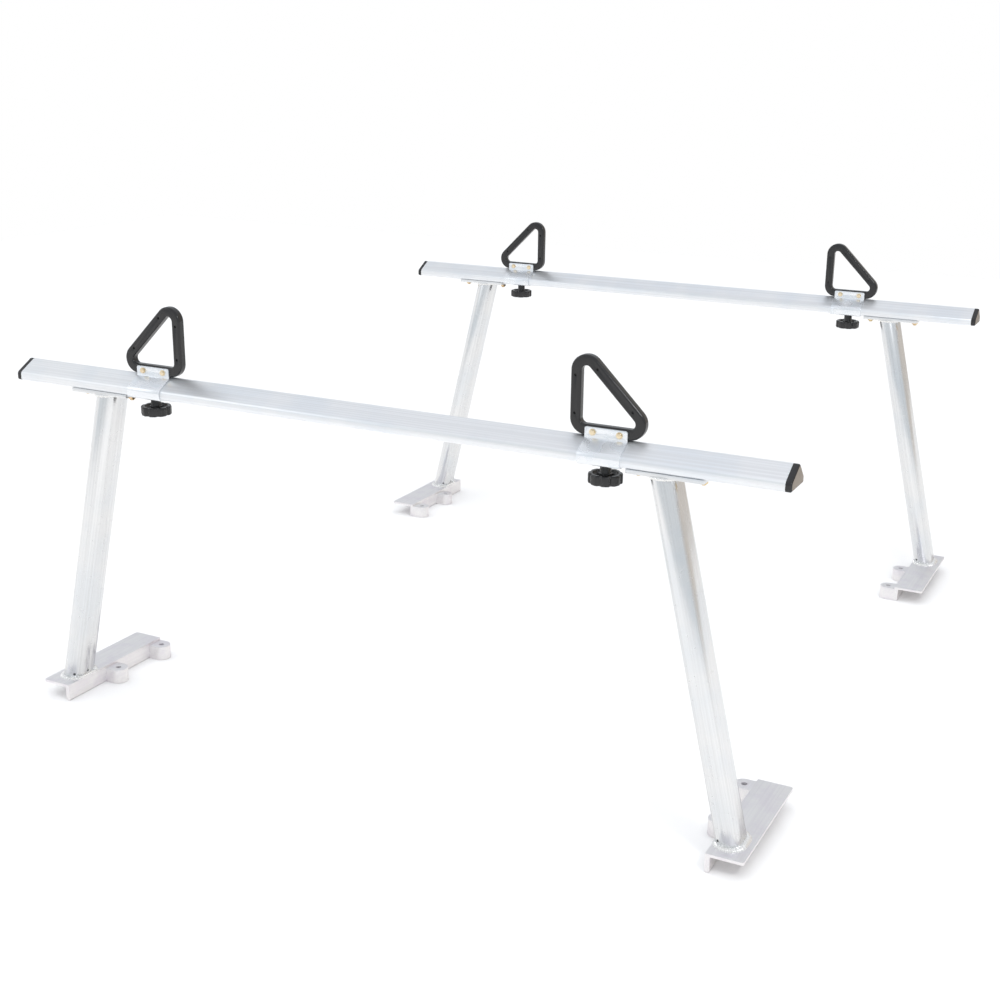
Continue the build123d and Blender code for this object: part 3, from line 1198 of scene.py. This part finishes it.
def light_world(colour):
    """Soft light all round: bright far left, grey in front, tan far right, cool above."""
    world = bpy.data.worlds.new("studio")
    bpy.context.scene.world = world
    world.use_nodes = True
    n = Nodes(world.node_tree)
    backdrop = world.node_tree.nodes["Background"]
    n.plug(backdrop, {"Color": colour, "Strength": 1.0})
    facing = n.add("TexCoord", output="Generated")
    across = n.add("SeparateXYZ", {}, {0: facing}, 0)
    deep = n.add("SeparateXYZ", {}, {0: facing}, 1)
    height = n.add("SeparateXYZ", {}, {0: facing}, 2)
    room = n.mix(n.band(across, -0.95, -0.72), colour, ROOM_FRONT)
    room = n.mix(n.band(across + deep, 0.75, 1.2), room, ROOM_FAR_RIGHT)
    room = n.mix(n.band(height, 0.35, 0.9), room, ROOM_ABOVE)
    glow = n.add("Background", {}, {"Color": room, "Strength": 1.0})
    seen = n.add("LightPath", output="Is Camera Ray")
    plain = Value(n, backdrop.outputs[0])
    both = n.add("MixShader", {}, {0: seen, 1: glow, 2: plain})
    n.plug(world.node_tree.nodes["World Output"], {"Surface": both})


def hang_sun(strength):
    """A very wide sun that lifts the floor and leaves no mark on the metal."""
    bpy.ops.object.light_add(type="SUN", location=(-2, -2, 5))
    lamp = bpy.context.object
    lamp.name = "wide sun"
    lamp.data.energy = strength
    lamp.data.angle = SUN_SPREAD
    lamp.visible_glossy = False
    lamp.rotation_euler = SUN_TURN


def hang_softbox(place, size, power):
    """A soft light that points at the middle of the rack, seen only by its light."""
    bpy.ops.object.light_add(type="AREA", location=place)
    lamp = bpy.context.object
    lamp.name = "softbox"
    lamp.data.shape = "RECTANGLE"
    lamp.data.size, lamp.data.size_y = size
    lamp.data.energy = power
    lamp.visible_camera = False
    aim = Vector(LIGHT_AIM) - Vector(place)
    lamp.rotation_euler = aim.to_track_quat("-Z", "Y").to_euler()


def set_camera(stage):
    bpy.ops.object.camera_add(location=stage.camera_place)
    camera = bpy.context.object
    camera.name = "camera"
    turn = Matrix.Rotation(stage.camera_turn, 3, "Z")
    dip = Matrix.Rotation(pi / 2 - stage.camera_dip, 3, "X")
    roll = Matrix.Rotation(stage.camera_roll, 3, "Z")
    camera.rotation_euler = (turn @ dip @ roll).to_euler()
    camera.data.lens = stage.camera_lens
    camera.data.sensor_width = SENSOR_WIDTH
    bpy.context.scene.camera = camera


class RACK_PT_panel(bpy.types.Panel):
    """Buttons for each kind of piece, and the values they use"""

    bl_label = "Ladder rack"
    bl_idname = "RACK_PT_panel"
    bl_space_type = "VIEW_3D"
    bl_region_type = "UI"
    bl_category = "Rack"

    def draw(self, context):
        for operator in OPERATORS:
            self.layout.operator(operator.bl_idname)
        for group in ("rack_sizes", "rack_finishes", "rack_stage"):
            values = getattr(context.scene, group)
            box = self.layout.box()
            for name in values.__annotations__:
                box.prop(values, name)


GROUPS = {"rack_sizes": RackSizes, "rack_finishes": RackFinishes, "rack_stage": RackStage}
OPERATORS = (
    RACK_OT_crossbars,
    RACK_OT_end_caps,
    RACK_OT_legs,
    RACK_OT_feet,
    RACK_OT_welds,
    RACK_OT_slot_hardware,
    RACK_OT_stop_brackets,
    RACK_OT_stop_loops,
    RACK_OT_loop_hardware,
    RACK_OT_knobs,
    RACK_OT_stage,
)


def register():
    for kind in (*GROUPS.values(), *OPERATORS, RACK_PT_panel):
        bpy.utils.register_class(kind)
    for name, group in GROUPS.items():
        setattr(bpy.types.Scene, name, bpy.props.PointerProperty(type=group))


def unregister():
    for name in GROUPS:
        delattr(bpy.types.Scene, name)
    for kind in (RACK_PT_panel, *reversed(OPERATORS), *reversed(GROUPS.values())):
        bpy.utils.unregister_class(kind)


def main():
    register()
    for operator in OPERATORS:
        name = operator.bl_idname.split(".")[1]
        getattr(bpy.ops.rack, name)()
    bpy.context.view_layer.update()


if __name__ == "__main__":
    main()
